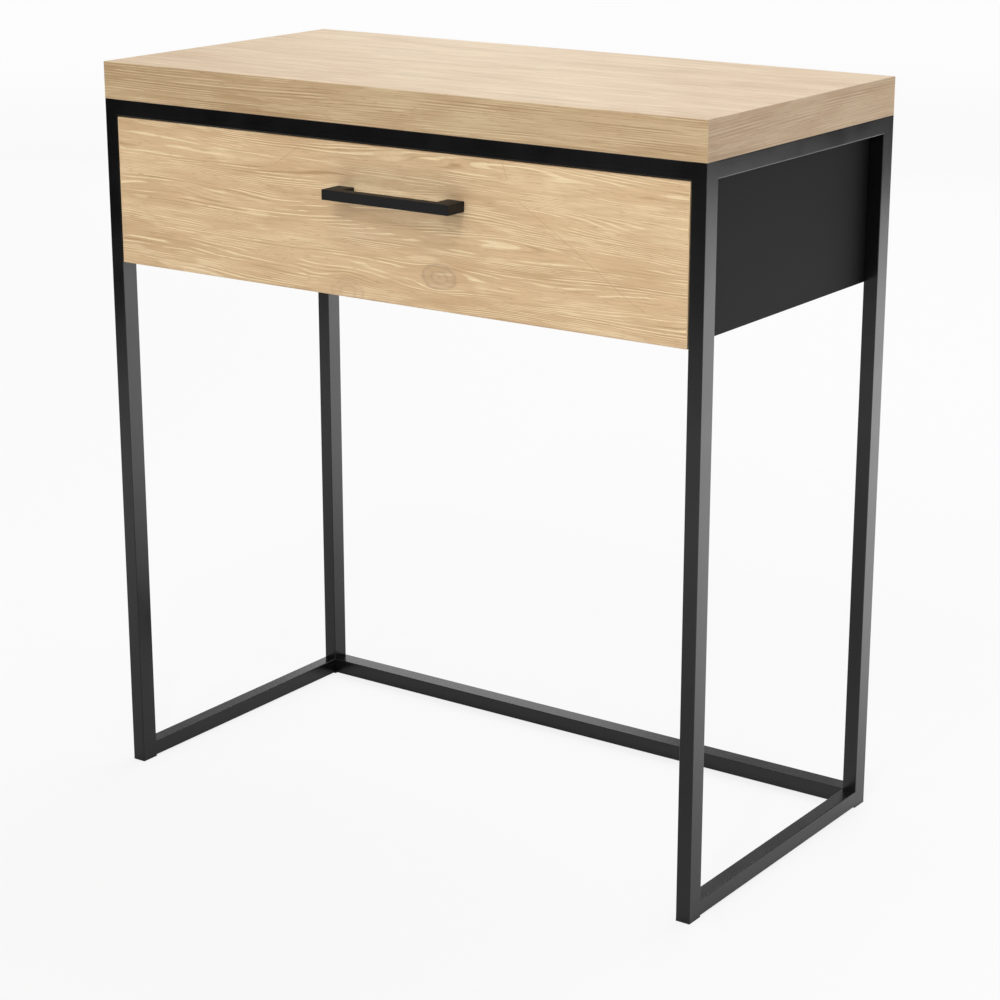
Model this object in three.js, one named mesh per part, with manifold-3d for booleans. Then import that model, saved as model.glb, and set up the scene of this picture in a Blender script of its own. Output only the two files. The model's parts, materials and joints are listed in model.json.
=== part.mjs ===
// Side table with one drawer: a welded steel tube frame, a thick wood-decor top, a black drawer
// housing bolted inside the frame, and a wood-decor drawer on two full-extension ball slides.
//
// Units are millimetres, +Z is up, the drawer front faces -Y and the right-hand side is +X.
// The origin is on the floor, at the centre of the table's overall box, handle included.

import * as THREE from "three";
import { mergeVertices } from "three/addons/utils/BufferGeometryUtils.js";
import Module from "manifold-3d";

const wasm = await Module();
wasm.setup();

// ---- Driving dimensions ------------------------------------------------------------------

const WIDTH = 700;
const DEPTH = 350; // frame and top, without the handle
const HEIGHT = 750;
const TOP_THICKNESS = 37;

const LEG_WIDTH = 15; // leg tube along X
const LEG_DEPTH = 20; // leg tube along Y
const TUBE_WALL = 1.5;
const TUBE_CORNER = 0.8; // outside corner radius of every tube
const TUBE_CORNER_STEPS = 3;
const TOP_RAIL_HEIGHT = 16;
const BASE_RAIL_HEIGHT = 18;
const GLIDE_FLANGE = 1.5; // plastic between leg and floor

const HOUSING_BOARD = 16;
const HOUSING_BOTTOM_Z = 551.5;
const HOUSING_TAIL = 10; // how far each housing side runs back past the rear leg's front face

const FRONT_THICKNESS = 16;
const FRONT_BOTTOM_Z = 548;
const FRONT_TOP_GAP = 1; // under the front rail
const FRONT_SIDE_GAP = 1; // beside each front leg
const HOUSING_TO_FRONT = 1; // behind the drawer front

const BOX_BOARD = 15;
const BOX_HEIGHT = 108;
const BOX_ABOVE_FRONT = 28; // lower edge of the drawer front to the lower edge of the box
const BOX_LENGTH = 284; // behind the drawer front
const BOX_BOTTOM_BOARD = 3;
const BOX_GROOVE_UP = 8; // lower edge of the box to its bottom board
const BOX_GROOVE_DEPTH = 6;

const SLIDE_THICKNESS = 12.7;
const SLIDE_HEIGHT = 45;
const SLIDE_LENGTH = 250;
const SLIDE_STEEL = 1.2;
const SLIDE_SETBACK = 6; // behind the housing's front edges

const HANDLE_OFFSET = 21; // handle centre, right of the drawer's centre
const HANDLE_CENTRES = 128; // screw to screw
const HANDLE_POST_WIDTH = 19;
const HANDLE_BAR = 10; // height and thickness of the bar
const HANDLE_PROJECTION = 26;
const HANDLE_BELOW_TOP = 46.5; // drawer front's top edge to the handle's centre line

const FIT = 0.3; // clearance round a fastener, tongue or dowel
const CUT_PAST = 1; // a cutter runs this far out of the piece it cuts

// ---- Worked-out places (about the frame's own centre) ------------------------------------

const HALF_W = WIDTH / 2;
const HALF_D = DEPTH / 2;
const FRAME_TOP = HEIGHT - TOP_THICKNESS;
const LEG_INNER_X = HALF_W - LEG_WIDTH;
const LEG_INNER_Y = HALF_D - LEG_DEPTH;
const TOP_RAIL_Z = FRAME_TOP - TOP_RAIL_HEIGHT;

const HOUSING_INNER_X = LEG_INNER_X - HOUSING_BOARD;
const HOUSING_INNER_Y = LEG_INNER_Y - HOUSING_BOARD;
const FRONT_BACK_Y = -HALF_D + FRONT_THICKNESS;
const HOUSING_FRONT_Y = FRONT_BACK_Y + HOUSING_TO_FRONT;

const FRONT_TOP_Z = TOP_RAIL_Z - FRONT_TOP_GAP;
const BOX_OUTER_X = HOUSING_INNER_X - SLIDE_THICKNESS;
const BOX_INNER_X = BOX_OUTER_X - BOX_BOARD;
const BOX_BACK_Y = FRONT_BACK_Y + BOX_LENGTH;
const BOX_Z = FRONT_BOTTOM_Z + BOX_ABOVE_FRONT;
const BOX_BOTTOM_Z = BOX_Z + BOX_GROOVE_UP;
const SLIDE_Z = BOX_Z + BOX_HEIGHT / 2;
const SLIDE_FRONT_Y = HOUSING_FRONT_Y + SLIDE_SETBACK;
const HANDLE_Z = FRONT_TOP_Z - HANDLE_BELOW_TOP;

// ---- Materials ---------------------------------------------------------------------------

const material = (color, roughness, metalness = 0) =>
  new THREE.MeshStandardMaterial({ color, roughness, metalness });

const OAK_TOP = material(0xddc7a8, 0.5);
const OAK_FRONT = material(0xcba97c, 0.5);
const BLACK_STEEL = material(0x1d1d1e, 0.45);
const BLACK_BOARD = material(0x1a1a1a, 0.6);
const BOX_BOARD_GREY = material(0x2a2a2b, 0.6);
const HANDLE_BLACK = material(0x1b1c1e, 0.4);
const BLACK_PLASTIC = material(0x141414, 0.5);
const ZINC = material(0xb9bcc0, 0.35, 1);
const BEECH = material(0xd3b48a, 0.7);

// ---- Geometry helpers --------------------------------------------------------------------

const table = new THREE.Group();
table.position.y = HANDLE_PROJECTION / 2;

function add(name, geometry, mat) {
  const mesh = new THREE.Mesh(geometry, mat);
  mesh.name = name;
  table.add(mesh);
  return mesh;
}

// A box between two corners, each given as [low, high] along X, Y and Z.
function block(x, y, z) {
  const box = new THREE.BoxGeometry(x[1] - x[0], y[1] - y[0], z[1] - z[0]);
  box.translate((x[0] + x[1]) / 2, (y[0] + y[1]) / 2, (z[0] + z[1]) / 2);
  return box;
}

const AXIS_TURN = {
  x: new THREE.Matrix4().makeBasis(
    new THREE.Vector3(0, 1, 0), new THREE.Vector3(0, 0, 1), new THREE.Vector3(1, 0, 0)),
  y: new THREE.Matrix4().makeBasis(
    new THREE.Vector3(0, 0, 1), new THREE.Vector3(1, 0, 0), new THREE.Vector3(0, 1, 0)),
  z: new THREE.Matrix4(),
};

function roundedRectangle(path, width, height, radius) {
  const x = width / 2 - radius;
  const y = height / 2 - radius;
  path.absarc(x, y, radius, 0, Math.PI / 2, false);
  path.absarc(-x, y, radius, Math.PI / 2, Math.PI, false);
  path.absarc(-x, -y, radius, Math.PI, Math.PI * 1.5, false);
  path.absarc(x, -y, radius, Math.PI * 1.5, Math.PI * 2, false);
  path.closePath();
  return path;
}

// An open-ended rectangular tube that fills the box between two corners, running along one axis.
function tube(axis, x, y, z) {
  const size = [x[1] - x[0], y[1] - y[0], z[1] - z[0]];
  const run = { x: 0, y: 1, z: 2 }[axis];
  const across = size[(run + 1) % 3];
  const up = size[(run + 2) % 3];
  const shape = roundedRectangle(new THREE.Shape(), across, up, TUBE_CORNER);
  const bore = roundedRectangle(
    new THREE.Path(), across - 2 * TUBE_WALL, up - 2 * TUBE_WALL, TUBE_CORNER / 2);
  shape.holes.push(bore);
  const geometry = new THREE.ExtrudeGeometry(shape, {
    depth: size[run],
    bevelEnabled: false,
    curveSegments: TUBE_CORNER_STEPS,
  });
  geometry.translate(0, 0, -size[run] / 2);
  geometry.applyMatrix4(AXIS_TURN[axis]);
  geometry.translate((x[0] + x[1]) / 2, (y[0] + y[1]) / 2, (z[0] + z[1]) / 2);
  return geometry;
}

// A piece turned about +Z: profile points are [radius, distance along the axis].
function turned(profile, segments) {
  const points = profile.map(([radius, along]) => new THREE.Vector2(radius, along));
  return new THREE.LatheGeometry(points, segments).rotateX(Math.PI / 2);
}

// Points a piece made about +Z along +axis from `at`, or along -axis when `reverse` is true.
function aim(geometry, axis, at, reverse) {
  if (reverse) geometry.rotateX(Math.PI);
  return geometry.applyMatrix4(AXIS_TURN[axis]).translate(...at);
}

function rod(radius, length, axis, at, reverse = false, segments = 16) {
  const profile = [[0, 0], [radius, 0], [radius, length], [0, length]];
  return aim(turned(profile, segments), axis, at, reverse);
}

function toSolid(geometry) {
  const bare = geometry.clone();
  bare.deleteAttribute("normal");
  bare.deleteAttribute("uv");
  const merged = mergeVertices(bare, 1e-4);
  return new wasm.Manifold(new wasm.Mesh({
    numProp: 3,
    vertProperties: new Float32Array(merged.attributes.position.array),
    triVerts: new Uint32Array(merged.index.array),
  }));
}

function toGeometry(solid) {
  const mesh = solid.getMesh();
  const geometry = new THREE.BufferGeometry();
  geometry.setAttribute("position", new THREE.BufferAttribute(mesh.vertProperties, 3));
  geometry.setIndex(new THREE.BufferAttribute(mesh.triVerts, 1));
  geometry.computeVertexNormals();
  return geometry;
}

function cut(geometry, cutters) {
  let solid = toSolid(geometry);
  for (const cutter of cutters) solid = solid.subtract(toSolid(cutter));
  return toGeometry(solid);
}

function join(first, second) {
  return toGeometry(toSolid(first).add(toSolid(second)));
}

// ---- Screws and bolts --------------------------------------------------------------------

const HEAD_FACE = 0.72; // radius of a head's flat face, as a share of the head's radius
const HEAD_SHOULDER = 0.5; // height of the head's chamfer, as a share of the head's height
const RECESS_WIDTH = 0.55; // half-span of the drive recess, as a share of the head's radius
const RECESS_DEPTH = 0.6; // as a share of the head's height
const CROSS_SLOT = 0.22; // thickness of each arm of a cross recess, as a share of the head's radius

// The cutters for a head's drive: a hexagon socket, or the two crossed slots of a cross recess.
function driveRecess({ head, headHeight, drive }) {
  const depth = headHeight * RECESS_DEPTH;
  const reach = head * RECESS_WIDTH;
  if (drive === "hexagon") return [rod(reach, depth + CUT_PAST, "z", [0, 0, -CUT_PAST], false, 6)];
  const arm = (head * CROSS_SLOT) / 2;
  return [
    block([-reach, reach], [-arm, arm], [-CUT_PAST, depth]),
    block([-arm, arm], [-reach, reach], [-CUT_PAST, depth]),
  ];
}

// A screw with its head's face at `at`. `length` is the shank's; `tip` is its pointed end's.
function screwGeometry(spec, length, axis, at, reverse = false, segments = 16) {
  const { radius, head, headHeight, tip = 0 } = spec;
  const end = headHeight + length;
  const profile = [
    [0, 0], [head * HEAD_FACE, 0], [head, headHeight * HEAD_SHOULDER], [head, headHeight],
    [radius, headHeight], [radius, end - tip], [0, end],
  ];
  return aim(cut(turned(profile, segments), driveRecess(spec)), axis, at, reverse);
}

const SIDES = [["left", -1], ["right", 1]];

// The span from `near` to `far` on the side given by sign, as [low, high].
const span = (sign, near, far) => (sign > 0 ? [near, far] : [-far, -near]);

// ---- Top fixings: wood screws that sit inside the rail and pull the top down -------------

const TOP_SCREW_X = 220;
const TOP_SCREW_Y = HALF_D - LEG_DEPTH / 2;
const TOP_SCREW = { radius: 2.5, head: 4.5, headHeight: 2.5, tip: 5, drive: "cross" };
const TOP_SCREW_BITE = 25; // into the wood
const TOP_SCREW_ACCESS = 6; // radius of the access hole in the rail's lower wall
const topScrewSeat = FRAME_TOP - TUBE_WALL;

const topScrews = [];
for (const [end, ySign] of [["front", -1], ["rear", 1]]) {
  for (const [side, xSign] of SIDES) {
    topScrews.push({ name: `top_screw_${end}_${side}`, x: xSign * TOP_SCREW_X, y: ySign * TOP_SCREW_Y, end });
  }
}

for (const { name, x, y } of topScrews) {
  const at = [x, y, topScrewSeat - TOP_SCREW.headHeight];
  add(name, screwGeometry(TOP_SCREW, TUBE_WALL + TOP_SCREW_BITE, "z", at), ZINC);
}

function topScrewPassage({ x, y }) {
  return rod(TOP_SCREW.radius + FIT, TUBE_WALL + 2 * CUT_PAST, "z", [x, y, topScrewSeat - CUT_PAST]);
}

function topScrewAccess({ x, y }) {
  return rod(TOP_SCREW_ACCESS, TUBE_WALL + 2 * CUT_PAST, "z", [x, y, TOP_RAIL_Z - CUT_PAST], false, 24);
}

function topScrewPilot({ x, y }) {
  return rod(TOP_SCREW.radius + FIT, TOP_SCREW_BITE + FIT + CUT_PAST, "z", [x, y, FRAME_TOP - CUT_PAST]);
}

// ---- Wood top ----------------------------------------------------------------------------

add("table_top",
  cut(block([-HALF_W, HALF_W], [-HALF_D, HALF_D], [FRAME_TOP, HEIGHT]), topScrews.map(topScrewPilot)),
  OAK_TOP);

// ---- Housing bolts: machine screws through a housing board into the tube behind it --------

const BOLT = { radius: 2.5, head: 4.75, headHeight: 3, drive: "hexagon" };
const BOLT_LENGTH = 22;
const HOUSING_BOLT_Z = FRAME_TOP - TOP_RAIL_HEIGHT / 2;
const SIDE_BOLT_Y = 115;
const REAR_BOLT_X = 200;

const housingBolts = [];
for (const [side, sign] of SIDES) {
  for (const [end, ySign] of [["front", -1], ["rear", 1]]) {
    housingBolts.push({
      name: `side_bolt_${side}_${end}`,
      host: `side_${side}`,
      axis: "x",
      seat: [sign * HOUSING_INNER_X, ySign * SIDE_BOLT_Y, HOUSING_BOLT_Z],
      step: [sign, 0, 0],
      reverse: sign < 0,
    });
  }
  housingBolts.push({
    name: `rear_bolt_${side}`,
    host: "rear",
    axis: "y",
    seat: [sign * REAR_BOLT_X, HOUSING_INNER_Y, HOUSING_BOLT_Z],
    step: [0, 1, 0],
    reverse: false,
  });
}

const shifted = (seat, step, distance) => seat.map((value, i) => value + step[i] * distance);

for (const bolt of housingBolts) {
  const at = shifted(bolt.seat, bolt.step, -BOLT.headHeight);
  add(bolt.name, screwGeometry(BOLT, BOLT_LENGTH, bolt.axis, at, bolt.reverse), ZINC);
}

// The clearance hole runs through the board and on into the tube's near wall.
function boltClearance(bolt) {
  const at = shifted(bolt.seat, bolt.step, -CUT_PAST);
  return rod(BOLT.radius + FIT, BOLT_LENGTH + 2 * CUT_PAST, bolt.axis, at, bolt.reverse);
}

const boltCuts = (host) => housingBolts.filter((bolt) => bolt.host === host).map(boltClearance);

// ---- Steel frame: four legs, three base rails, four top rails -----------------------------

const legTube = { bottom: GLIDE_FLANGE, top: FRAME_TOP };

for (const [end, ySign] of [["front", -1], ["rear", 1]]) {
  for (const [side, xSign] of SIDES) {
    const x = span(xSign, LEG_INNER_X, HALF_W);
    const y = span(ySign, LEG_INNER_Y, HALF_D);
    add(`leg_${end}_${side}`, tube("z", x, y, [legTube.bottom, legTube.top]), BLACK_STEEL);
    add(`glide_${end}_${side}`, glideGeometry(x, y), BLACK_PLASTIC);
  }
}

// A plastic insert: a flange under the leg and a plug up inside its bore.
function glideGeometry(x, y) {
  const plugHeight = 14;
  const plugSide = TUBE_WALL + FIT;
  const flange = block(x, y, [0, GLIDE_FLANGE]);
  const plug = block(
    [x[0] + plugSide, x[1] - plugSide],
    [y[0] + plugSide, y[1] - plugSide],
    [GLIDE_FLANGE / 2, GLIDE_FLANGE + plugHeight]);
  return join(flange, plug);
}

const baseRailZ = [GLIDE_FLANGE, BASE_RAIL_HEIGHT];
const topRailZ = [TOP_RAIL_Z, FRAME_TOP];

for (const [side, sign] of SIDES) {
  const x = span(sign, LEG_INNER_X, HALF_W);
  const y = [-LEG_INNER_Y, LEG_INNER_Y];
  add(`base_rail_${side}`, tube("y", x, y, baseRailZ), BLACK_STEEL);
  add(`top_rail_${side}`, cut(tube("y", x, y, topRailZ), boltCuts(`side_${side}`)), BLACK_STEEL);
}

add("base_rail_rear",
  tube("x", [-LEG_INNER_X, LEG_INNER_X], [LEG_INNER_Y, HALF_D], baseRailZ), BLACK_STEEL);

for (const [end, ySign] of [["front", -1], ["rear", 1]]) {
  const rail = tube("x", [-LEG_INNER_X, LEG_INNER_X], span(ySign, LEG_INNER_Y, HALF_D), topRailZ);
  const screws = topScrews.filter((screw) => screw.end === end);
  const cutters = [...screws.map(topScrewPassage), ...screws.map(topScrewAccess)];
  if (end === "rear") cutters.push(...boltCuts("rear"));
  add(`top_rail_${end}`, cut(rail, cutters), BLACK_STEEL);
}

// ---- Slide screws ------------------------------------------------------------------------

const SLIDE_SCREW = { radius: 1.75, head: 3.6, headHeight: 1.8, tip: 3, drive: "cross" };
const SLIDE_SCREW_LENGTH = 12;
const SLIDE_SCREW_INSET = 35; // from each end of the slide
const slideScrewY = {
  front: SLIDE_FRONT_Y + SLIDE_SCREW_INSET,
  rear: SLIDE_FRONT_Y + SLIDE_LENGTH - SLIDE_SCREW_INSET,
};

// Cabinet screws drive outwards into the housing; drawer screws drive inwards into the box.
const slideScrews = [];
for (const [side, sign] of SIDES) {
  for (const end of ["front", "rear"]) {
    slideScrews.push({
      name: `slide_screw_housing_${side}_${end}`, side, member: "outer",
      web: sign * (HOUSING_INNER_X - SLIDE_STEEL), out: sign, y: slideScrewY[end],
    });
    slideScrews.push({
      name: `slide_screw_drawer_${side}_${end}`, side, member: "inner",
      web: sign * (BOX_OUTER_X + SLIDE_STEEL), out: -sign, y: slideScrewY[end],
    });
  }
}

for (const screw of slideScrews) {
  const at = [screw.web - screw.out * SLIDE_SCREW.headHeight, screw.y, SLIDE_Z];
  add(screw.name, screwGeometry(SLIDE_SCREW, SLIDE_SCREW_LENGTH, "x", at, screw.out < 0, 12), ZINC);
}

function slideScrewHole(screw) {
  const start = screw.web - screw.out * (FIT / 2);
  return rod(
    SLIDE_SCREW.radius + FIT, SLIDE_SCREW_LENGTH + FIT, "x", [start, screw.y, SLIDE_Z], screw.out < 0, 12);
}

const slideCuts = (side, member) =>
  slideScrews.filter((s) => s.side === side && s.member === member).map(slideScrewHole);

// ---- Drawer slides: three nested steel channels on each side ------------------------------

// Each channel's half-height, its web, and the reach of its flanges and its length. Webs and
// reaches are measured from the housing board's face.
const MIDDLE_WEB = 3.9;
const MIDDLE_SHORTER = 6; // the middle channel is this much shorter than the others
const CHANNELS = {
  outer: { half: SLIDE_HEIGHT / 2, web: [0, SLIDE_STEEL], reach: 10, length: SLIDE_LENGTH },
  middle: {
    half: 18, web: [MIDDLE_WEB, MIDDLE_WEB + SLIDE_STEEL], reach: 11, length: SLIDE_LENGTH - MIDDLE_SHORTER,
  },
  inner: {
    half: 13, web: [SLIDE_THICKNESS - SLIDE_STEEL, SLIDE_THICKNESS], reach: 6.6, length: SLIDE_LENGTH,
  },
};

// A channel's outline across the slide: its web, and a flange at top and bottom.
function channelShape({ half, web, reach }) {
  const flange = half - SLIDE_STEEL;
  const opens = reach > web[1] ? 1 : -1;
  const [back, face] = opens > 0 ? web : [web[1], web[0]];
  const shape = new THREE.Shape();
  shape.moveTo(back, -half);
  shape.lineTo(reach, -half);
  shape.lineTo(reach, -flange);
  shape.lineTo(face, -flange);
  shape.lineTo(face, flange);
  shape.lineTo(reach, flange);
  shape.lineTo(reach, half);
  shape.lineTo(back, half);
  shape.closePath();
  return shape;
}

function channelGeometry(sign, channel) {
  const geometry = new THREE.ExtrudeGeometry(channelShape(channel), {
    depth: channel.length,
    bevelEnabled: false,
  });
  // The outline's X (away from the board) becomes -X on the right; its Y becomes Z; depth becomes Y.
  const place = new THREE.Matrix4().makeBasis(
    new THREE.Vector3(-1, 0, 0), new THREE.Vector3(0, 0, 1), new THREE.Vector3(0, 1, 0));
  geometry.applyMatrix4(place);
  geometry.translate(HOUSING_INNER_X, SLIDE_FRONT_Y, SLIDE_Z);
  if (sign < 0) geometry.rotateZ(Math.PI).translate(0, 2 * SLIDE_FRONT_Y + channel.length, 0);
  return geometry;
}

for (const [side, sign] of SIDES) {
  for (const [member, channel] of Object.entries(CHANNELS)) {
    const geometry = channelGeometry(sign, channel);
    const holes = slideCuts(side, member);
    add(`slide_${member}_${side}`, holes.length ? cut(geometry, holes) : geometry, ZINC);
  }
}

// ---- Drawer housing: two sides, a back and a bottom ---------------------------------------

const DOWEL = { radius: 4, intoSide: 12, intoBottom: 18 };
const DOWEL_Z = HOUSING_BOTTOM_Z + HOUSING_BOARD / 2;
const DOWEL_Y = { front: -110, rear: 95 };

const dowels = [];
for (const [side, sign] of SIDES) {
  for (const end of ["front", "rear"]) {
    const start = [sign * (HOUSING_INNER_X - DOWEL.intoBottom), DOWEL_Y[end], DOWEL_Z];
    dowels.push({ name: `dowel_${side}_${end}`, side, start, reverse: sign < 0, sign });
  }
}

const dowelLength = DOWEL.intoSide + DOWEL.intoBottom;
for (const dowel of dowels) {
  add(dowel.name, rod(DOWEL.radius, dowelLength, "x", dowel.start, dowel.reverse, 12), BEECH);
}

function dowelHole({ start, reverse, sign }) {
  const from = [start[0] - sign * FIT, start[1], start[2]];
  return rod(DOWEL.radius + FIT, dowelLength + 2 * FIT, "x", from, reverse, 12);
}

// The notches that let a housing side run between the legs, under the front and rear rails.
const railNotches = [-1, 1].map((sign) => block(
  [-HALF_W, HALF_W],
  span(sign, LEG_INNER_Y - FIT, HALF_D),
  [TOP_RAIL_Z - FIT, FRAME_TOP + CUT_PAST]));

for (const [side, sign] of SIDES) {
  const board = block(
    span(sign, HOUSING_INNER_X, LEG_INNER_X),
    [HOUSING_FRONT_Y, LEG_INNER_Y + HOUSING_TAIL],
    [HOUSING_BOTTOM_Z, FRAME_TOP]);
  const holes = [
    ...railNotches,
    ...boltCuts(`side_${side}`),
    ...slideCuts(side, "outer"),
    ...dowels.filter((dowel) => dowel.side === side).map(dowelHole),
  ];
  add(`housing_side_${side}`, cut(board, holes), BLACK_BOARD);
}

add("housing_bottom",
  cut(block([-HOUSING_INNER_X, HOUSING_INNER_X], [HOUSING_FRONT_Y, HOUSING_INNER_Y],
    [HOUSING_BOTTOM_Z, HOUSING_BOTTOM_Z + HOUSING_BOARD]), dowels.map(dowelHole)),
  BLACK_BOARD);

add("housing_back",
  cut(block([-HOUSING_INNER_X, HOUSING_INNER_X], [HOUSING_INNER_Y, LEG_INNER_Y],
    [HOUSING_BOTTOM_Z, FRAME_TOP]), boltCuts("rear")),
  BLACK_BOARD);

// ---- Drawer box fittings: a cam and its bolt on each side ---------------------------------

const CAM_UP = 79; // above the lower edge of the box
const CAM = { radius: 7.5, depth: 12.5, setBack: 24, z: BOX_Z + CAM_UP };
const CAM_BOLT = { radius: 3.5, intoFront: 11 };
const camY = FRONT_BACK_Y + CAM.setBack;

function camParts(sign, fit) {
  const face = sign * (BOX_INNER_X - (fit ? CUT_PAST : 0));
  const depth = CAM.depth + (fit ? CUT_PAST + fit : 0);
  const cam = rod(CAM.radius + fit, depth, "x", [face, camY, CAM.z], sign < 0, 24);
  const boltX = sign * (BOX_INNER_X + CAM.depth / 2);
  const boltFrom = FRONT_BACK_Y - CAM_BOLT.intoFront - fit;
  const bolt = rod(CAM_BOLT.radius + fit, camY - boltFrom, "y", [boltX, boltFrom, CAM.z], false, 12);
  return [cam, bolt];
}

const CAM_DRIVE = { head: CAM.radius, headHeight: 3, drive: "cross" };

for (const [side, sign] of SIDES) {
  const face = [sign * BOX_INNER_X, camY, CAM.z];
  const recess = driveRecess(CAM_DRIVE).map((cutter) => aim(cutter, "x", face, sign < 0));
  add(`cam_fitting_${side}`, cut(join(...camParts(sign, 0)), recess), ZINC);
}

// ---- Drawer box --------------------------------------------------------------------------

const boxBottomX = BOX_INNER_X + BOX_GROOVE_DEPTH - FIT;
const boxBottomFrontY = FRONT_BACK_Y - BOX_GROOVE_DEPTH + FIT;
const boxBottomZ = [BOX_BOTTOM_Z, BOX_BOTTOM_Z + BOX_BOTTOM_BOARD];

// The slot that the bottom board runs in, open at the back of the box.
const boxGroove = block(
  [-BOX_INNER_X - BOX_GROOVE_DEPTH, BOX_INNER_X + BOX_GROOVE_DEPTH],
  [FRONT_BACK_Y - BOX_GROOVE_DEPTH, BOX_BACK_Y + CUT_PAST],
  [boxBottomZ[0] - FIT, boxBottomZ[1] + FIT]);

for (const [side, sign] of SIDES) {
  const board = block(
    span(sign, BOX_INNER_X, BOX_OUTER_X), [FRONT_BACK_Y, BOX_BACK_Y], [BOX_Z, BOX_Z + BOX_HEIGHT]);
  add(`drawer_side_${side}`,
    cut(board, [boxGroove, ...camParts(sign, FIT), ...slideCuts(side, "inner")]), BOX_BOARD_GREY);
}

add("drawer_back",
  block([-BOX_INNER_X, BOX_INNER_X], [BOX_BACK_Y - BOX_BOARD, BOX_BACK_Y],
    [boxBottomZ[1] + FIT, BOX_Z + BOX_HEIGHT]),
  BOX_BOARD_GREY);

add("drawer_bottom",
  block([-boxBottomX, boxBottomX], [boxBottomFrontY, BOX_BACK_Y], boxBottomZ), BOX_BOARD_GREY);

// ---- Handle and its screws ---------------------------------------------------------------

const HANDLE_SCREW = { radius: 2, head: 4.25, headHeight: 2.4, drive: "cross" };
const HANDLE_SCREW_LENGTH = FRONT_THICKNESS + 9; // through the drawer front and into the post
const handleScrewX = SIDES.map(
  ([side, sign]) => [side, HANDLE_OFFSET + (sign * HANDLE_CENTRES) / 2]);

for (const [side, x] of handleScrewX) {
  const at = [x, FRONT_BACK_Y + HANDLE_SCREW.headHeight, HANDLE_Z];
  add(`handle_screw_${side}`, screwGeometry(HANDLE_SCREW, HANDLE_SCREW_LENGTH, "y", at, true), ZINC);
}

const handleScrewHoles = handleScrewX.map(([, x]) => rod(
  HANDLE_SCREW.radius + FIT, HANDLE_SCREW_LENGTH + FIT + CUT_PAST,
  "y", [x, FRONT_BACK_Y + CUT_PAST, HANDLE_Z], true));

// The handle's outline from above: a straight bar with a post turned back at each end.
function handleShape() {
  const half = (HANDLE_CENTRES + HANDLE_POST_WIDTH) / 2;
  const inner = half - HANDLE_POST_WIDTH;
  const shape = new THREE.Shape();
  shape.moveTo(-half, 0);
  shape.lineTo(-half, -HANDLE_PROJECTION);
  shape.lineTo(half, -HANDLE_PROJECTION);
  shape.lineTo(half, 0);
  shape.lineTo(inner, 0);
  shape.lineTo(inner, -HANDLE_PROJECTION + HANDLE_BAR);
  shape.lineTo(-inner, -HANDLE_PROJECTION + HANDLE_BAR);
  shape.lineTo(-inner, 0);
  shape.closePath();
  return shape;
}

const handleBar = new THREE.ExtrudeGeometry(handleShape(), { depth: HANDLE_BAR, bevelEnabled: false });
handleBar.translate(HANDLE_OFFSET, -HALF_D, HANDLE_Z - HANDLE_BAR / 2);
add("handle", cut(handleBar, handleScrewHoles), HANDLE_BLACK);

// ---- Drawer front ------------------------------------------------------------------------

const frontBoard = block(
  [-LEG_INNER_X + FRONT_SIDE_GAP, LEG_INNER_X - FRONT_SIDE_GAP],
  [-HALF_D, FRONT_BACK_Y], [FRONT_BOTTOM_Z, FRONT_TOP_Z]);
const camBoltHoles = SIDES.map(([, sign]) => camParts(sign, FIT)[1]);
add("drawer_front", cut(frontBoard, [boxGroove, ...camBoltHoles, ...handleScrewHoles]), OAK_FRONT);

export default table;
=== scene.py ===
"""Looks for the side table with drawer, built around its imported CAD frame.

The table stands on the floor at the origin, +Z up, its drawer front facing -Y. All sizes are in metres.
"""

import json
import math

import bmesh
import bpy
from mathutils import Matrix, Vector


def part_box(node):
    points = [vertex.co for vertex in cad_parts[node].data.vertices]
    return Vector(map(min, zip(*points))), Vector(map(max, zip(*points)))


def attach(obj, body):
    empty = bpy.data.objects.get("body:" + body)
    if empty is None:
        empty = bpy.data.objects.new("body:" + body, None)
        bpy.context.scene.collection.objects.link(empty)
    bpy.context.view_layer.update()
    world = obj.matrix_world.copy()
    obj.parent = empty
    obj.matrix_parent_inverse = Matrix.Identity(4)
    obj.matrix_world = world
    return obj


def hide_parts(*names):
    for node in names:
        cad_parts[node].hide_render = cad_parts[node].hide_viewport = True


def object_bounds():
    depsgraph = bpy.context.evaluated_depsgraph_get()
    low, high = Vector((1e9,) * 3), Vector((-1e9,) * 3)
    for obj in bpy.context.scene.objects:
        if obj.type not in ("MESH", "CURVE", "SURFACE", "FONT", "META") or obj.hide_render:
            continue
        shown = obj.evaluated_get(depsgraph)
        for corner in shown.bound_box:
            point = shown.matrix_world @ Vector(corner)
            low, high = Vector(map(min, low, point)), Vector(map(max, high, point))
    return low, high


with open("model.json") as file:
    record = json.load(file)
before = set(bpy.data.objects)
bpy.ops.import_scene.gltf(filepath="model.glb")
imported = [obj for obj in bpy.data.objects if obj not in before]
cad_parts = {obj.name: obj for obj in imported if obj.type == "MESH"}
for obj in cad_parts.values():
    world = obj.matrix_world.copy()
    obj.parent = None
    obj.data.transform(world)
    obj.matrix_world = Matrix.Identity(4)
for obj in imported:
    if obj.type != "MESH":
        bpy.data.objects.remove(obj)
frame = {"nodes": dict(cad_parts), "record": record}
CAD_LOW, CAD_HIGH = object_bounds()

MM = 0.001
SLOT_OF = {part["node"]: part["material_slot"] for part in frame["record"]["subparts"]}
BODY_OF = {
    node: body
    for body, nodes in frame["record"]["behaviour"]["bodies"].items()
    for node in nodes
}


# ---- Camera -------------------------------------------------------------------------------

CAMERA_PLACE = (1.457, -2.042, 1.069)
CAMERA_TURN = 35.13  # degrees about Z, to the left of straight back
CAMERA_TILT = -16.77  # degrees, downwards
CAMERA_LENS = 92.3  # mm
CAMERA_SENSOR = 36  # mm
CAMERA_REACH = 200  # metres


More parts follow.
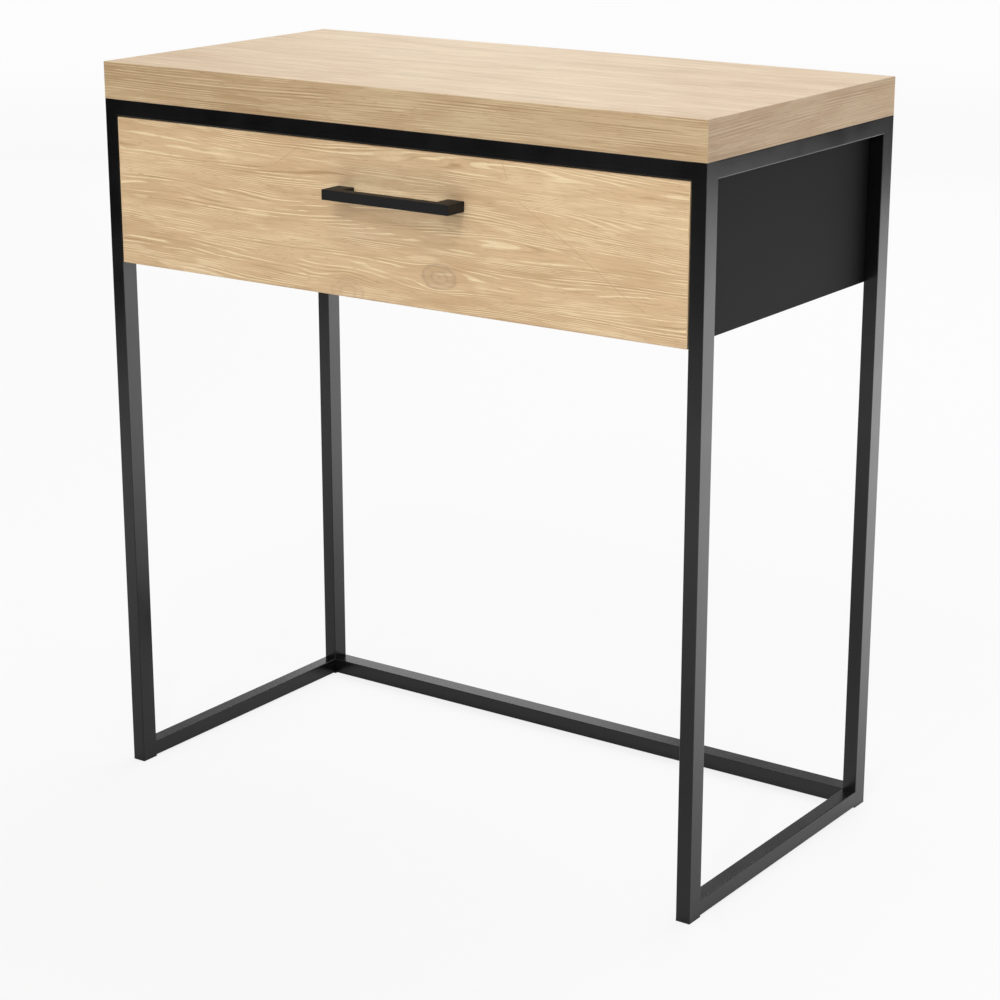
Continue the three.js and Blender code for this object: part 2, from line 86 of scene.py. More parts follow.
def make_camera():
    """The main view's camera, from the front right and a little above the top."""
    camera = bpy.data.objects.new("camera", bpy.data.cameras.new("camera"))
    camera.data.lens = CAMERA_LENS
    camera.data.sensor_width = CAMERA_SENSOR
    camera.data.clip_end = CAMERA_REACH
    camera.location = CAMERA_PLACE
    camera.rotation_euler = (math.radians(90 + CAMERA_TILT), 0, math.radians(CAMERA_TURN))
    bpy.context.scene.collection.objects.link(camera)
    bpy.context.scene.camera = camera


# ---- Node graphs --------------------------------------------------------------------------


def linear(red, green, blue):
    """A screen colour, 0 to 255 a channel, as the linear colour that nodes take."""
    def channel(value):
        share = value / 255
        return share / 12.92 if share <= 0.04045 else ((share + 0.055) / 1.055) ** 2.4

    return (channel(red), channel(green), channel(blue), 1.0)


class Graph:
    """One material's nodes, added in the order that they feed each other."""

    def __init__(self, name):
        self.material = bpy.data.materials.new(name)
        self.material.use_nodes = True
        self.tree = self.material.node_tree
        self.shader = self.tree.nodes["Principled BSDF"]

    def feed(self, socket, value):
        if isinstance(value, bpy.types.NodeSocket):
            self.tree.links.new(value, socket)
        elif value is not None:
            socket.default_value = value

    def add(self, kind, inputs, **settings):
        node = self.tree.nodes.new(kind)
        for key, value in settings.items():
            setattr(node, key, value)
        for key, value in inputs.items():
            self.feed(node.inputs[key], value)
        return node

    def surface(self, **inputs):
        """Sets sockets of the shader: Base_Color=... stands for its Base Color."""
        for key, value in inputs.items():
            self.feed(self.shader.inputs[key.replace("_", " ")], value)

    def place(self):
        """The point on the piece, in metres."""
        return self.add("ShaderNodeTexCoord", {}).outputs["Object"]

    def split(self, vector):
        parts = self.add("ShaderNodeSeparateXYZ", {0: vector}).outputs
        return parts["X"], parts["Y"], parts["Z"]

    def join(self, x, y, z):
        return self.add("ShaderNodeCombineXYZ", {0: x, 1: y, 2: z}).outputs[0]

    def math(self, operation, first, second=None, third=None):
        inputs = {0: first, 1: second, 2: third}
        return self.add("ShaderNodeMath", inputs, operation=operation).outputs[0]

    def stretch(self, vector, scale):
        inputs = {0: vector, 1: scale}
        return self.add("ShaderNodeVectorMath", inputs, operation="MULTIPLY").outputs[0]

    def noise(self, vector, scale=1.0, detail=2.0, roughness=0.5, distortion=0.0):
        inputs = {
            "Vector": vector, "Scale": scale, "Detail": detail,
            "Roughness": roughness, "Distortion": distortion,
        }
        return self.add("ShaderNodeTexNoise", inputs).outputs[0]

    def streaks(self, along, across, per_length, per_width, seed, detail=2.0, roughness=0.5):
        """Noise drawn out along the grain: so many cells a metre along it and across it."""
        run = self.math("MULTIPLY", along, per_length)
        rise = self.math("MULTIPLY", across, per_width)
        return self.noise(self.join(run, rise, seed), detail=detail, roughness=roughness)

    def step(self, value, low, high, to_low=0.0, to_high=1.0):
        """Rises smoothly from to_low to to_high as value goes from low to high."""
        inputs = {0: value, 1: low, 2: high, 3: to_low, 4: to_high}
        settings = {"interpolation_type": "SMOOTHSTEP", "clamp": True}
        return self.add("ShaderNodeMapRange", inputs, **settings).outputs[0]

    def mix(self, share, first, second, blend="MIX"):
        node = self.add("ShaderNodeMix", {}, data_type="RGBA", blend_type=blend)
        self.feed(node.inputs[0], share)
        self.feed(node.inputs[6], first)
        self.feed(node.inputs[7], second)
        return node.outputs[2]

    def bump(self, height, depth, strength=1.0):
        """Relief of that depth in metres where height is 1."""
        inputs = {"Height": height, "Distance": depth, "Strength": strength}
        self.surface(Normal=self.add("ShaderNodeBump", inputs).outputs[0])


# ---- Materials ----------------------------------------------------------------------------

OAK_BASE = linear(230, 197, 154)
OAK_PALE = linear(253, 229, 186)
OAK_DARK = linear(184, 146, 101)
OAK_GREY = linear(184, 154, 124)

KNOTS = (  # x, z, radius across the grain, how dark; a knot is KNOT_STRETCH times longer along it
    (0.065, 0.5805, 0.0112, 1.0),
    (-0.043, 0.5526, 0.0120, 0.45),
)
KNOT_STRETCH = 1.6
KNOT_PUSH = 0.45  # how far the lines give way to a knot; 1 would carry them right round it
CRACKS = (  # hair cracks in the oak, from (x, z) to (x, z)
    ((-0.131, 0.667), (-0.100, 0.687)),
    ((0.136, 0.696), (0.142, 0.678)),
    ((0.153, 0.661), (0.207, 0.628)),
    ((0.207, 0.628), (0.273, 0.584)),
    ((0.273, 0.584), (0.290, 0.5755)),
)
CRACK_HALF_WIDTH = 0.5 * MM
CRACK_DEPTH = 0.60  # how much of the dark oak colour a crack takes
KNOT_HALO = 0.22  # how much grey the whole knot takes
KNOT_RINGS = 0.42  # and how much more its rings take
RING_SPACING = 0.50  # of the knot's radius

LINES_PER_METRE = 400  # growth lines, before the figure bends and bunches them
FINE_LINES_PER_METRE = 820
BUNCHING = 0.012  # metres by which the growth lines crowd and spread
PORE_DEPTH = 0.8  # of the fibres' relief
OAK_IOR = 1.5

# How much of its colour each layer of the oak lays over those before it, at full contrast.
PALE_CLOUDS = 0.35
DARK_CLOUDS = 0.30
FINE_LINES = 0.28
LATE_WOOD = 0.72
EARLY_WOOD = 0.95
FLECKS = 0.45
FIBRES = 0.35
PORES = 0.65

# Straight grain: how far its lines wander in metres, and its long pale and dark streaks.
STRAIGHT_DRIFT = 0.010
PALE_STREAKS = 0.55
DARK_STREAKS = 0.50

# Flame figure: how far each kind of bend carries the lines, in metres.
FIGURE_BEND = 0.018
FIGURE_LOOPS = 0.030
FIGURE_RIPPLE = 0.0035


def oak_tones(g, rings, along, across, contrast):
    """Oak colour and relief, from a field that rises across the growth lines and the point's place."""

    def lines(per_metre):
        return g.math("SINE", g.math("MULTIPLY", field, 2 * math.pi * per_metre))

    spacing = g.streaks(along, rings, 2.0, 55.0, 3.1, detail=1.0)
    field = g.math("ADD", rings, g.math("MULTIPLY", spacing, BUNCHING))
    wave = lines(LINES_PER_METRE)
    pale_stretch = g.step(g.streaks(along, across, 13.0, 130.0, 7.7), 0.45, 0.57)
    early = g.math("MULTIPLY", g.step(wave, 0.35, 0.85), pale_stretch)
    dark_stretch = g.step(g.streaks(along, across, 9.0, 90.0, 1.3), 0.48, 0.64)
    late = g.math("MULTIPLY", g.step(wave, -0.50, -1.0), dark_stretch)
    fine_stretch = g.step(g.streaks(along, across, 12.0, 110.0, 6.2), 0.48, 0.64)
    fine = g.math("MULTIPLY", g.step(lines(FINE_LINES_PER_METRE), 0.0, 1.0), fine_stretch)
    cloud = g.streaks(along, across, 6.0, 30.0, 2.5, detail=3.0)
    fleck = g.step(g.streaks(along, rings, 19.0, 115.0, 9.4, detail=1.0), 0.60, 0.74)
    fibre = g.streaks(along, across, 26.0, 760.0, 0.0, detail=3.0, roughness=0.6)
    pore = g.step(g.streaks(along, across, 70.0, 1150.0, 4.0, detail=1.0), 0.65, 0.74)

    colour = g.mix(g.step(cloud, 0.48, 0.72, 0.0, PALE_CLOUDS * contrast), OAK_BASE, OAK_PALE)
    colour = g.mix(g.step(cloud, 0.50, 0.28, 0.0, DARK_CLOUDS * contrast), colour, OAK_DARK)
    colour = g.mix(g.math("MULTIPLY", fine, FINE_LINES * contrast), colour, OAK_DARK)
    colour = g.mix(g.math("MULTIPLY", late, LATE_WOOD * contrast), colour, OAK_DARK)
    colour = g.mix(g.math("MULTIPLY", early, EARLY_WOOD * contrast), colour, OAK_PALE)
    colour = g.mix(g.math("MULTIPLY", fleck, FLECKS * contrast), colour, OAK_PALE)
    colour = g.mix(g.step(fibre, 0.40, 0.75, 0.0, FIBRES * contrast), colour, OAK_DARK)
    colour = g.mix(g.math("MULTIPLY", pore, PORES * contrast), colour, OAK_DARK)
    return colour, g.math("SUBTRACT", fibre, g.math("MULTIPLY", pore, PORE_DEPTH))


def oak_straight(name, along_axis, across_axis, contrast=1.0, tint=(1.0, 1.0, 1.0)):
    """Oak decor with straight grain, running along one axis of the table."""
    g = Graph(name)
    axes = dict(zip("xyz", g.split(g.place())))
    along, across = axes[along_axis], axes[across_axis]
    drift = g.streaks(along, across, 2.2, 9.0, 5.0, detail=1.0)
    lines = g.math("ADD", across, g.math("MULTIPLY", drift, STRAIGHT_DRIFT))
    colour, relief = oak_tones(g, lines, along, across, contrast)
    streak = g.streaks(along, across, 4.0, 230.0, 2.0, detail=3.0, roughness=0.55)
    colour = g.mix(g.step(streak, 0.52, 0.75, 0.0, PALE_STREAKS * contrast), colour, OAK_PALE)
    colour = g.mix(g.step(streak, 0.48, 0.25, 0.0, DARK_STREAKS * contrast), colour, OAK_DARK)
    # The tint multiplies the colour: a real browner edge banding on some bands, and on the top's face and
    # end bands a painted reflection and painted shade.
    colour = g.mix(1.0, colour, (*tint, 1.0), "MULTIPLY")
    g.surface(Base_Color=colour, Roughness=g.step(relief, 0.2, 0.8, 0.50, 0.42))
    g.shader.inputs["IOR"].default_value = OAK_IOR
    g.bump(relief, 0.05 * MM)
    return g.material


def around_knot(g, lines, x, z, knot):
    """Bends the growth lines round a knot. Returns them and the distance from the knot's centre."""
    centre_x, centre_z, radius, _ = knot
    run = g.math("DIVIDE", g.math("SUBTRACT", x, centre_x), KNOT_STRETCH)
    rise = g.math("SUBTRACT", z, centre_z)
    square = g.math("ADD", g.math("MULTIPLY", run, run), g.math("MULTIPLY", rise, rise))
    share = g.math("DIVIDE", radius * radius, g.math("MAXIMUM", square, radius * radius))
    bent = g.math("SUBTRACT", lines, g.math("MULTIPLY", rise, g.math("MULTIPLY", share, KNOT_PUSH)))
    return bent, g.math("SQRT", square)


def hair_line(g, x, z, start, end, half_width):
    """1 on the line from start to end, 0 away from it."""
    run, rise = end[0] - start[0], end[1] - start[1]
    length = math.hypot(run, rise)
    from_x = g.math("SUBTRACT", x, start[0])
    from_z = g.math("SUBTRACT", z, start[1])
    cosine, sine = run / length, rise / length
    forward = g.math("ADD", g.math("MULTIPLY", from_x, cosine), g.math("MULTIPLY", from_z, sine))
    aside = g.math("SUBTRACT", g.math("MULTIPLY", from_x, sine), g.math("MULTIPLY", from_z, cosine))
    near = g.step(g.math("ABSOLUTE", aside), half_width, 0.0)
    middle = g.math("ABSOLUTE", g.math("SUBTRACT", forward, length / 2))
    return g.math("MULTIPLY", near, g.math("LESS_THAN", middle, length / 2))


def oak_figured(name):
    """Oak decor of the drawer front: flame figure along X, two knots and a few hair cracks."""
    g = Graph(name)
    x, _, z = g.split(g.place())
    lines = z
    for per_length, per_width, seed, detail, push in (
        (2.4, 8.0, 0.6, 1.0, FIGURE_BEND),
        (3.6, 40.0, 8.2, 0.0, FIGURE_LOOPS),
        (13.0, 70.0, 5.1, 1.0, FIGURE_RIPPLE),
    ):
        waver = g.streaks(x, z, per_length, per_width, seed, detail=detail)
        lines = g.math("ADD", lines, g.math("MULTIPLY", waver, push))
    distances = []
    for knot in KNOTS:
        lines, distance = around_knot(g, lines, x, z, knot)
        distances.append(distance)
    colour, relief = oak_tones(g, lines, x, z, 1.0)
    ragging = g.streaks(x, z, 60.0, 150.0, 3.3)
    for distance, (_, _, radius, depth) in zip(distances, KNOTS):
        stray = g.math("MULTIPLY", g.math("SUBTRACT", ragging, 0.5), 0.5 * radius)
        ragged = g.math("ADD", distance, stray)
        ring = g.math("COSINE", g.math("MULTIPLY", ragged, 2 * math.pi / (RING_SPACING * radius)))
        inside = g.step(ragged, 1.25 * radius, 0.95 * radius)
        colour = g.mix(g.math("MULTIPLY", inside, KNOT_HALO * depth), colour, OAK_GREY)
        rings = g.math("MULTIPLY", inside, g.step(ring, 0.0, 1.0, 0.0, KNOT_RINGS * depth))
        colour = g.mix(rings, colour, OAK_GREY)
    for start, end in CRACKS:
        crack = hair_line(g, x, z, start, end, CRACK_HALF_WIDTH)
        colour = g.mix(g.math("MULTIPLY", crack, CRACK_DEPTH), colour, OAK_DARK)
    g.surface(Base_Color=colour, Roughness=g.step(relief, 0.2, 0.8, 0.52, 0.44))
    g.shader.inputs["IOR"].default_value = OAK_IOR
    g.bump(relief, 0.06 * MM)
    return g.material


# Darker and paler parts of each black finish.
COAT_TONES = ((0.0030, 0.0030, 0.0031, 1), (0.0055, 0.0055, 0.0056, 1))
BLACK_MELAMINE = ((0.005, 0.005, 0.0053, 1), (0.008, 0.008, 0.0084, 1))
ANTHRACITE_MELAMINE = ((0.030, 0.030, 0.032, 1), (0.038, 0.038, 0.041, 1))
LACQUER_TONES = ((0.0065, 0.0065, 0.0068, 1), (0.0085, 0.0085, 0.0088, 1))
PLASTIC_TONES = ((0.008, 0.008, 0.008, 1), (0.014, 0.014, 0.014, 1))
COAT_IOR = 1.45


def powder_coat(name):
    """Satin black powder coat: fine orange peel, and a gloss that varies a little."""
    g = Graph(name)
    place = g.place()
    peel = g.noise(place, scale=900, detail=2.0)
    cloud = g.noise(place, scale=18, detail=2.0)
    tone = g.mix(cloud, *COAT_TONES)
    g.surface(Base_Color=tone, Roughness=g.step(cloud, 0.3, 0.7, 0.20, 0.25))
    g.shader.inputs["IOR"].default_value = COAT_IOR
    g.bump(peel, 0.03 * MM)
    return g.material


def melamine(name, tones, roughness, specular):
    """Faced chipboard in one colour, with a fine pearl texture."""
    g = Graph(name)
    place = g.place()
    pearl = g.noise(place, scale=1400, detail=2.0)
    cloud = g.noise(place, scale=9, detail=3.0)
    g.surface(
        Base_Color=g.mix(cloud, *tones),
        Roughness=g.step(pearl, 0.3, 0.7, roughness - 0.05, roughness + 0.05),
        Specular_IOR_Level=specular,
    )
    g.bump(pearl, 0.04 * MM)
    return g.material


def lacquer(name):
    """Satin black lacquer on the handle, over faint lengthwise polishing marks."""
    g = Graph(name)
    place = g.place()
    marks = g.noise(g.stretch(place, (60, 1500, 1500)), detail=2.0)
    cloud = g.noise(place, scale=40, detail=2.0)
    tone = g.mix(cloud, *LACQUER_TONES)
    g.surface(Base_Color=tone, Roughness=g.step(marks, 0.3, 0.7, 0.50, 0.58), Specular_IOR_Level=0.25)
    g.bump(marks, 0.01 * MM)
    return g.material


def plastic(name):
    """Moulded black plastic with a fine spark texture."""
    g = Graph(name)
    grain = g.noise(g.place(), scale=1800, detail=2.0)
    tone = g.mix(grain, *PLASTIC_TONES)
    g.surface(Base_Color=tone, Roughness=g.step(grain, 0.3, 0.7, 0.45, 0.6))
    g.bump(grain, 0.05 * MM)
    return g.material


def zinc(name):
    """Bright zinc plate on rolled steel."""
    g = Graph(name)
    place = g.place()
    rolled = g.noise(g.stretch(place, (900, 30, 900)), detail=3.0)
    cloud = g.noise(place, scale=60, detail=3.0)
    tone = g.mix(cloud, linear(186, 189, 194), linear(214, 216, 219))
    g.surface(Base_Color=tone, Roughness=g.step(cloud, 0.3, 0.7, 0.26, 0.40))
    g.shader.inputs["Metallic"].default_value = 1.0
    g.bump(rolled, 0.01 * MM)
    return g.material


def beech(name):
    """Raw beech of the dowels, grain along X."""
    g = Graph(name)
    fleck = g.noise(g.stretch(g.place(), (60, 900, 900)), detail=3.0)
    tone = g.mix(fleck, linear(190, 150, 110), linear(222, 188, 150))
    g.surface(Base_Color=tone, Roughness=g.step(fleck, 0.3, 0.7, 0.6, 0.75))
    g.bump(fleck, 0.05 * MM)
    return g.material


# ---- Softened edges -----------------------------------------------------------------------

SMOOTH_ANGLE = math.radians(40)
WELD_DISTANCE = 0.005 * MM
BEVEL_SEGMENTS = 2


def smooth_by_angle():
    """A node group that shades a mesh smooth, with a crease wherever two faces meet steeply."""
    group = bpy.data.node_groups.new("smooth_by_angle", "GeometryNodeTree")
    group.interface.new_socket("Mesh", in_out="INPUT", socket_type="NodeSocketGeometry")
    group.interface.new_socket("Mesh", in_out="OUTPUT", socket_type="NodeSocketGeometry")
    start = group.nodes.new("NodeGroupInput")
    end = group.nodes.new("NodeGroupOutput")
    angle = group.nodes.new("GeometryNodeInputMeshEdgeAngle")
    steep = group.nodes.new("FunctionNodeCompare")
    steep.data_type = "FLOAT"
    steep.operation = "GREATER_THAN"
    steep.inputs[1].default_value = SMOOTH_ANGLE
    faces = group.nodes.new("GeometryNodeSetShadeSmooth")
    faces.domain = "FACE"
    edges = group.nodes.new("GeometryNodeSetShadeSmooth")
    edges.domain = "EDGE"
    edges.inputs["Shade Smooth"].default_value = False
    group.links.new(start.outputs[0], faces.inputs["Geometry"])
    group.links.new(faces.outputs[0], edges.inputs["Geometry"])
    group.links.new(angle.outputs["Unsigned Angle"], steep.inputs[0])
    group.links.new(steep.outputs[0], edges.inputs["Selection"])
    group.links.new(edges.outputs[0], end.inputs[0])
    return group


SMOOTH_GROUP = smooth_by_angle()


def soften(piece, radius):
    """Rounds the piece's sharp edges by that radius, without touching its own vertices."""
    weld = piece.modifiers.new("weld", "WELD")
    weld.merge_threshold = WELD_DISTANCE
    if radius:
        bevel = piece.modifiers.new("bevel", "BEVEL")
        bevel.width = radius
        bevel.segments = BEVEL_SEGMENTS
        bevel.limit_method = "ANGLE"
        bevel.angle_limit = SMOOTH_ANGLE
        bevel.use_clamp_overlap = True
    smooth = piece.modifiers.new("smooth", "NODES")
    smooth.node_group = SMOOTH_GROUP
    normals = piece.modifiers.new("normals", "WEIGHTED_NORMAL")
    normals.keep_sharp = True


EDGE_RADIUS = {
    "black_steel": 0.0,
    "black_board": 0.5 * MM,
    "drawer_board": 0.5 * MM,
    "handle_black": 0.5 * MM,
    "black_plastic": 0.3 * MM,
    "zinc_steel": 0.15 * MM,
    "beech": 0.5 * MM,
}


def dress_cad_nodes(materials):
    """Gives each CAD node its slot's material and soft edges. Slots with none are built elsewhere."""
    for name, node in frame["nodes"].items():
        slot = SLOT_OF[name]
        if slot not in materials:
            continue
        node.data.materials.clear()
        node.data.materials.append(materials[slot])
        if "custom_normal" in node.data.attributes:
            node.data.attributes.remove(node.data.attributes["custom_normal"])
        soften(node, EDGE_RADIUS[slot])


# ---- Faced and edged boards ---------------------------------------------------------------

BAND = 1.0 * MM  # edge banding
BAND_RADIUS = 0.6 * MM
SEAM_RADIUS = 0.12 * MM  # the hairline where band and facing meet


def rounded_box(name, low, high, is_outer):
    """A box whose outer edges are rounded by BAND_RADIUS, and whose other edges are a fine seam."""
    mesh = bpy.data.meshes.new(name)
    shape = bmesh.new()
    bmesh.ops.create_cube(shape, size=1.0)
    size = Vector(high) - Vector(low)
    centre = (Vector(high) + Vector(low)) / 2
    for vertex in shape.verts:
        vertex.co = Vector(c * s for c, s in zip(vertex.co, size)) + centre
    outer, inner = [], []
    for edge in shape.edges:
        middle = (edge.verts[0].co + edge.verts[1].co) / 2
        (outer if is_outer(middle) else inner).append(edge)
    if outer:
        bmesh.ops.bevel(shape, geom=outer, offset=BAND_RADIUS, segments=3, profile=0.5, affect="EDGES")
    inner = [edge for edge in inner if edge.is_valid]
    if inner:
        bmesh.ops.bevel(shape, geom=inner, offset=SEAM_RADIUS, segments=1, profile=0.5, affect="EDGES")
    for face in shape.faces:
        face.smooth = True
    shape.to_mesh(mesh)
    shape.free()
    mesh.set_sharp_from_angle(angle=SMOOTH_ANGLE)
    piece = bpy.data.objects.new(name, mesh)
    bpy.context.scene.collection.objects.link(piece)
    normals = piece.modifiers.new("normals", "WEIGHTED_NORMAL")
    normals.keep_sharp = True
    return piece


def banded_board(node, across, names, materials):
    """Builds a CAD board as its faced panel and four edge bands.

    The face spans X and the axis `across`, which is 1 for Y or 2 for Z.
    """
    low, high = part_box(node)
    body = BODY_OF[node]
    normal = 3 - across

    def is_outer(middle):
        on_end = min(abs(middle[0] - low[0]), abs(middle[0] - high[0])) < BAND / 4
        on_side = min(abs(middle[across] - low[across]), abs(middle[across] - high[across])) < BAND / 4
        on_face = min(abs(middle[normal] - low[normal]), abs(middle[normal] - high[normal])) < BAND / 4
        return on_end + on_side + on_face >= 2

    def part(name, x, y, material):
        part_low, part_high = Vector(low), Vector(high)
        part_low[0], part_high[0] = x
        part_low[across], part_high[across] = y
        piece = rounded_box(name, part_low, part_high, is_outer)
        piece.data.materials.append(material)
        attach(piece, body)
        return piece

    inner_x = (low[0] + BAND, high[0] - BAND)
    inner_y = (low[across] + BAND, high[across] - BAND)
    panel = part(names["panel"], inner_x, inner_y, materials["face"])
    part(names["first"], (low[0], high[0]), (low[across], inner_y[0]), materials["long"])
    part(names["last"], (low[0], high[0]), (inner_y[1], high[across]), materials["long"])
    part(names["left"], (low[0], inner_x[0]), inner_y, materials["short"])
    part(names["right"], (inner_x[1], high[0]), inner_y, materials["short"])
    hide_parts(node)


# ---- Welds --------------------------------------------------------------------------------

TUBE_CORNER = 0.8 * MM
RAILS_ALONG_X = ("base_rail_rear", "top_rail_front", "top_rail_rear")
RAILS_ALONG_Y = ("base_rail_left", "base_rail_right", "top_rail_left", "top_rail_right")


def add_welds(material):
    """The ground-flush weld at each end of each rail, which fills the leg tube's rounded corner."""
    shape = bmesh.new()
    for run, rails in ((0, RAILS_ALONG_X), (1, RAILS_ALONG_Y)):
        side = 1 - run
        for rail in rails:
            low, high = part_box(rail)
            for end, outward in ((low[run], -1), (high[run], 1)):
                for face, inward in ((low[side], 1), (high[side], -1)):
                    centre = Vector((0.0, 0.0, (low[2] + high[2]) / 2))
                    centre[run] = end + outward * TUBE_CORNER / 2
                    centre[side] = face + inward * TUBE_CORNER / 2
                    height = high[2] - low[2] - 2 * TUBE_CORNER
                    size = Vector((TUBE_CORNER, TUBE_CORNER, height))
                    cube = bmesh.ops.create_cube(shape, size=1.0)
                    for vertex in cube["verts"]:
                        vertex.co = Vector(c * s for c, s in zip(vertex.co, size)) + centre
    mesh = bpy.data.meshes.new("frame_welds")
    shape.to_mesh(mesh)
    shape.free()
    mesh.materials.append(material)
    welds = bpy.data.objects.new("frame_welds", mesh)
    bpy.context.scene.collection.objects.link(welds)
    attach(welds, "table")


# ---- Stage --------------------------------------------------------------------------------

FLOOR_HALF = 40.0
FLOOR_SEEN = 0.86  # how pale the camera sees the floor, where light falls on it
FLOOR_WHITE = (0.82, 0.97)  # how much plain white is mixed in, near the table and far off
FLOOR_FADE = (1.5, 7.0)  # metres from the table's middle: where that starts and stops growing
FLOOR_BOUNCE = 0.75  # share of the light on the lit pool that it throws back at the table

# To the table, the floor is a pool of light that's brightest behind it on the right.
POOL_CENTRE = (0.5, 0.6)
POOL_EDGE = (3.4, 2.85)  # metres from its centre: fully dark, fully lit
POOL_RISES = (0.40, 0.92)  # the way it brightens
POOL_SLOPE = (-0.5, 2.2)  # metres along that way: where it starts and stops brightening
POOL_GLOW = (0.40, 2.1)  # how bright it is there
SHADE_CENTRE = (-0.15, -0.25)  # the table's own shade
SHADE_EDGE = (0.3, 1.2)
SHADE = 0.15


def add_floor():
    """A plain pale floor. To the camera it's evenly pale; to the table it's the pool of light above."""
    mesh = bpy.data.meshes.new("floor")
    corners = [(-1, -1), (1, -1), (1, 1), (-1, 1)]
    mesh.from_pydata([(x * FLOOR_HALF, y * FLOOR_HALF, 0) for x, y in corners], [], [(0, 1, 2, 3)])
    floor = bpy.data.objects.new("floor", mesh)
    bpy.context.scene.collection.objects.link(floor)

    g = Graph("pale_floor")
    x, y, _ = g.split(g.place())

    def distance(from_x, from_y):
        run = g.math("SUBTRACT", x, from_x)
        rise = g.math("SUBTRACT", y, from_y)
        return g.math("SQRT", g.math("ADD", g.math("MULTIPLY", run, run), g.math("MULTIPLY", rise, rise)))

    pool = g.step(distance(*POOL_CENTRE), *POOL_EDGE)
    along = g.math("ADD", g.math("MULTIPLY", x, POOL_RISES[0]), g.math("MULTIPLY", y, POOL_RISES[1]))
    glow = g.math("MULTIPLY", pool, g.step(along, *POOL_SLOPE, *POOL_GLOW))
    glow = g.math("MULTIPLY", glow, g.step(distance(*SHADE_CENTRE), *SHADE_EDGE, SHADE, 1.0))
    bounce = g.math("MULTIPLY", pool, FLOOR_BOUNCE)
    g.surface(
        Base_Color=g.join(bounce, bounce, bounce),
        Roughness=0.9,
        Specular_IOR_Level=0.0,
        Emission_Color=(1, 1, 1, 1),
        Emission_Strength=glow,
    )
    white = g.add("ShaderNodeEmission", {"Color": (1, 1, 1, 1), "Strength": 1.0})
    sheet = g.add("ShaderNodeBsdfDiffuse", {"Color": (FLOOR_SEEN, FLOOR_SEEN, FLOOR_SEEN, 1)})
    fade = g.step(distance(0.0, 0.0), *FLOOR_FADE, *FLOOR_WHITE)
    seen = g.add("ShaderNodeMixShader", {0: fade, 1: sheet.outputs[0], 2: white.outputs[0]})
    path = g.add("ShaderNodeLightPath", {}).outputs["Is Camera Ray"]
    both = g.add("ShaderNodeMixShader", {0: path, 1: g.shader.outputs[0], 2: seen.outputs[0]})
    g.feed(g.tree.nodes["Material Output"].inputs["Surface"], both.outputs[0])
    mesh.materials.append(g.material)


ROOM_LIGHT = 0.35
ROOM_SEEN = 0.97


def add_world():
    """A dim room that the camera sees as pale; the softboxes do the lighting."""
    world = bpy.data.worlds.new("studio")
    world.use_nodes = True
    tree = world.node_tree
    white = (1, 1, 1, 1)
    around = tree.nodes["Background"]
    around.inputs["Color"].default_value = white
    around.inputs["Strength"].default_value = ROOM_LIGHT
    seen = tree.nodes.new("ShaderNodeBackground")
    seen.inputs["Color"].default_value = white
    seen.inputs["Strength"].default_value = ROOM_SEEN
    path = tree.nodes.new("ShaderNodeLightPath")
    mix = tree.nodes.new("ShaderNodeMixShader")
    tree.links.new(path.outputs["Is Camera Ray"], mix.inputs[0])
    tree.links.new(around.outputs[0], mix.inputs[1])
    tree.links.new(seen.outputs[0], mix.inputs[2])
    tree.links.new(mix.outputs[0], tree.nodes["World Output"].inputs["Surface"])
    bpy.context.scene.world = world


def add_softbox(name, place, target, size, power):
    """A rectangular light that faces its target, and that the camera doesn't see."""
    light = bpy.data.lights.new(name, "AREA")
    light.shape = "RECTANGLE"
    light.size, light.size_y = size
    light.energy = power
    box = bpy.data.objects.new(name, light)
    box.location = place
    box.rotation_euler = (Vector(target) - Vector(place)).to_track_quat("-Z", "Y").to_euler()
    box.visible_camera = False
    bpy.context.scene.collection.objects.link(box)


DOME_CENTRE = Vector((0.0, 0.0, 0.5))
DOME_RADIUS = 4.0
DOME_LIGHTS = (  # name, degrees round from +X, degrees up, width and height in metres, watts
    ("overhead", 90, 85, (3.0, 3.0), 17),
    ("high_behind", 90, 50, (2.4, 2.4), 66),
    ("high_right", 30, 50, (2.4, 2.4), 10),
    ("high_front", -90, 50, (4.6, 3.4), 14),
    ("front", -90, 25, (5.2, 3.2), 42),
    ("front_right", -45, 25, (2.2, 1.6), 6),
    ("behind_left", 126, 13, (0.9, 1.9), 4.5),
    ("low_behind", 122, 5, (3.6, 0.7), 7),
)
DRAWER_MIDDLE = 0.62  # height that the lamps aim at
LAMP_SIZE = (0.14, 0.14)
LAMPS = (  # small lamps that throw the handle's shadow on the drawer: name, place from it, watts
    ("lamp_low", (0.41, -2.27, 1.91), 7.0),
    ("lamp_high", (0.77, -1.46, 2.51), 9.5),
)


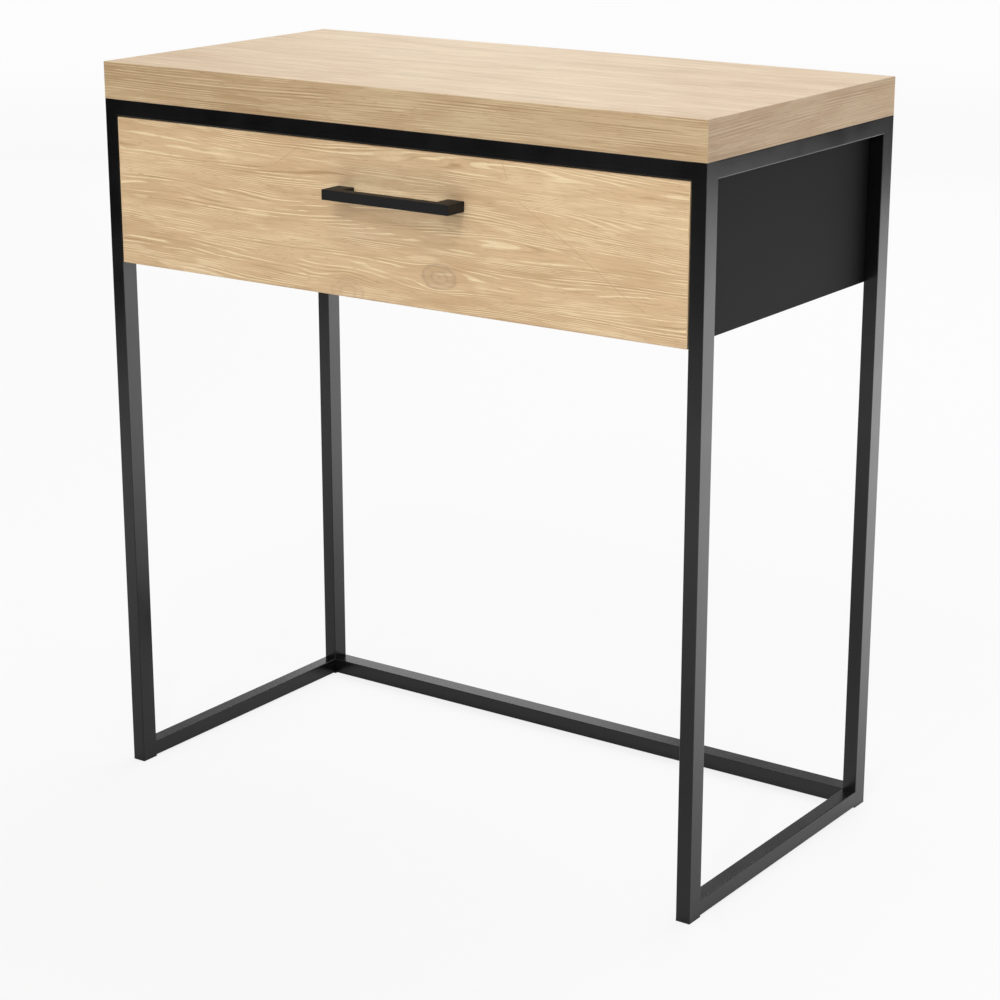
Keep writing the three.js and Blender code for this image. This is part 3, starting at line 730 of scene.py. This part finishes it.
def light_the_stage():
    """The softboxes on a dome round the table, and the two small lamps aimed at the drawer."""
    for name, turn, rise, size, power in DOME_LIGHTS:
        turn, rise = math.radians(turn), math.radians(rise)
        flat = math.cos(rise)
        outward = Vector((math.cos(turn) * flat, math.sin(turn) * flat, math.sin(rise)))
        add_softbox(name, DOME_CENTRE + DOME_RADIUS * outward, DOME_CENTRE, size, power)
    drawer = Vector((0.0, CAD_LOW.y, DRAWER_MIDDLE))
    for name, offset, power in LAMPS:
        add_softbox(name, drawer + Vector(offset), drawer, LAMP_SIZE, power)


# ---- Everything together ------------------------------------------------------------------

bpy.context.scene.view_settings.view_transform = "Standard"
make_camera()
add_floor()
add_world()
light_the_stage()

coat = powder_coat("powder_coat")
add_welds(coat)
dress_cad_nodes({
    "black_steel": coat,
    "black_board": melamine("black_melamine", BLACK_MELAMINE, roughness=0.62, specular=0.12),
    "drawer_board": melamine("anthracite_melamine", ANTHRACITE_MELAMINE, roughness=0.5, specular=0.4),
    "handle_black": lacquer("black_lacquer"),
    "black_plastic": plastic("black_plastic"),
    "zinc_steel": zinc("zinc_plate"),
    "beech": beech("raw_beech"),
})

BAND_TINT = (0.88, 0.87, 0.86)  # edge banding is a shade browner than the face

banded_board(
    "table_top", 1,
    {"panel": "top_panel", "first": "top_band_front", "last": "top_band_rear",
     "left": "top_band_left", "right": "top_band_right"},
    # The top face's tint cools its oak colour: a painted reflection of the pale room on the top, not a
    # colour of the decor.
    {"face": oak_straight("oak_top_face_painted_reflection", "x", "y", contrast=0.8, tint=(0.93, 0.99, 1.14)),
     "long": oak_straight("oak_long_band", "x", "z", tint=(0.78, 0.77, 0.75)),
     # The end bands' tint darkens their oak to about 0.6: painted shade for the ends, which face away
     # from the front lights.
     "short": oak_straight("oak_short_band_painted_shade", "y", "z", contrast=0.8, tint=(0.60, 0.59, 0.61))},
)
banded_board(
    "drawer_front", 2,
    {"panel": "front_panel", "first": "front_band_bottom", "last": "front_band_top",
     "left": "front_band_left", "right": "front_band_right"},
    {"face": oak_figured("oak_front_face"),
     "long": oak_straight("oak_front_long_band", "x", "y", tint=BAND_TINT),
     "short": oak_straight("oak_front_short_band", "z", "y", tint=BAND_TINT)},
)
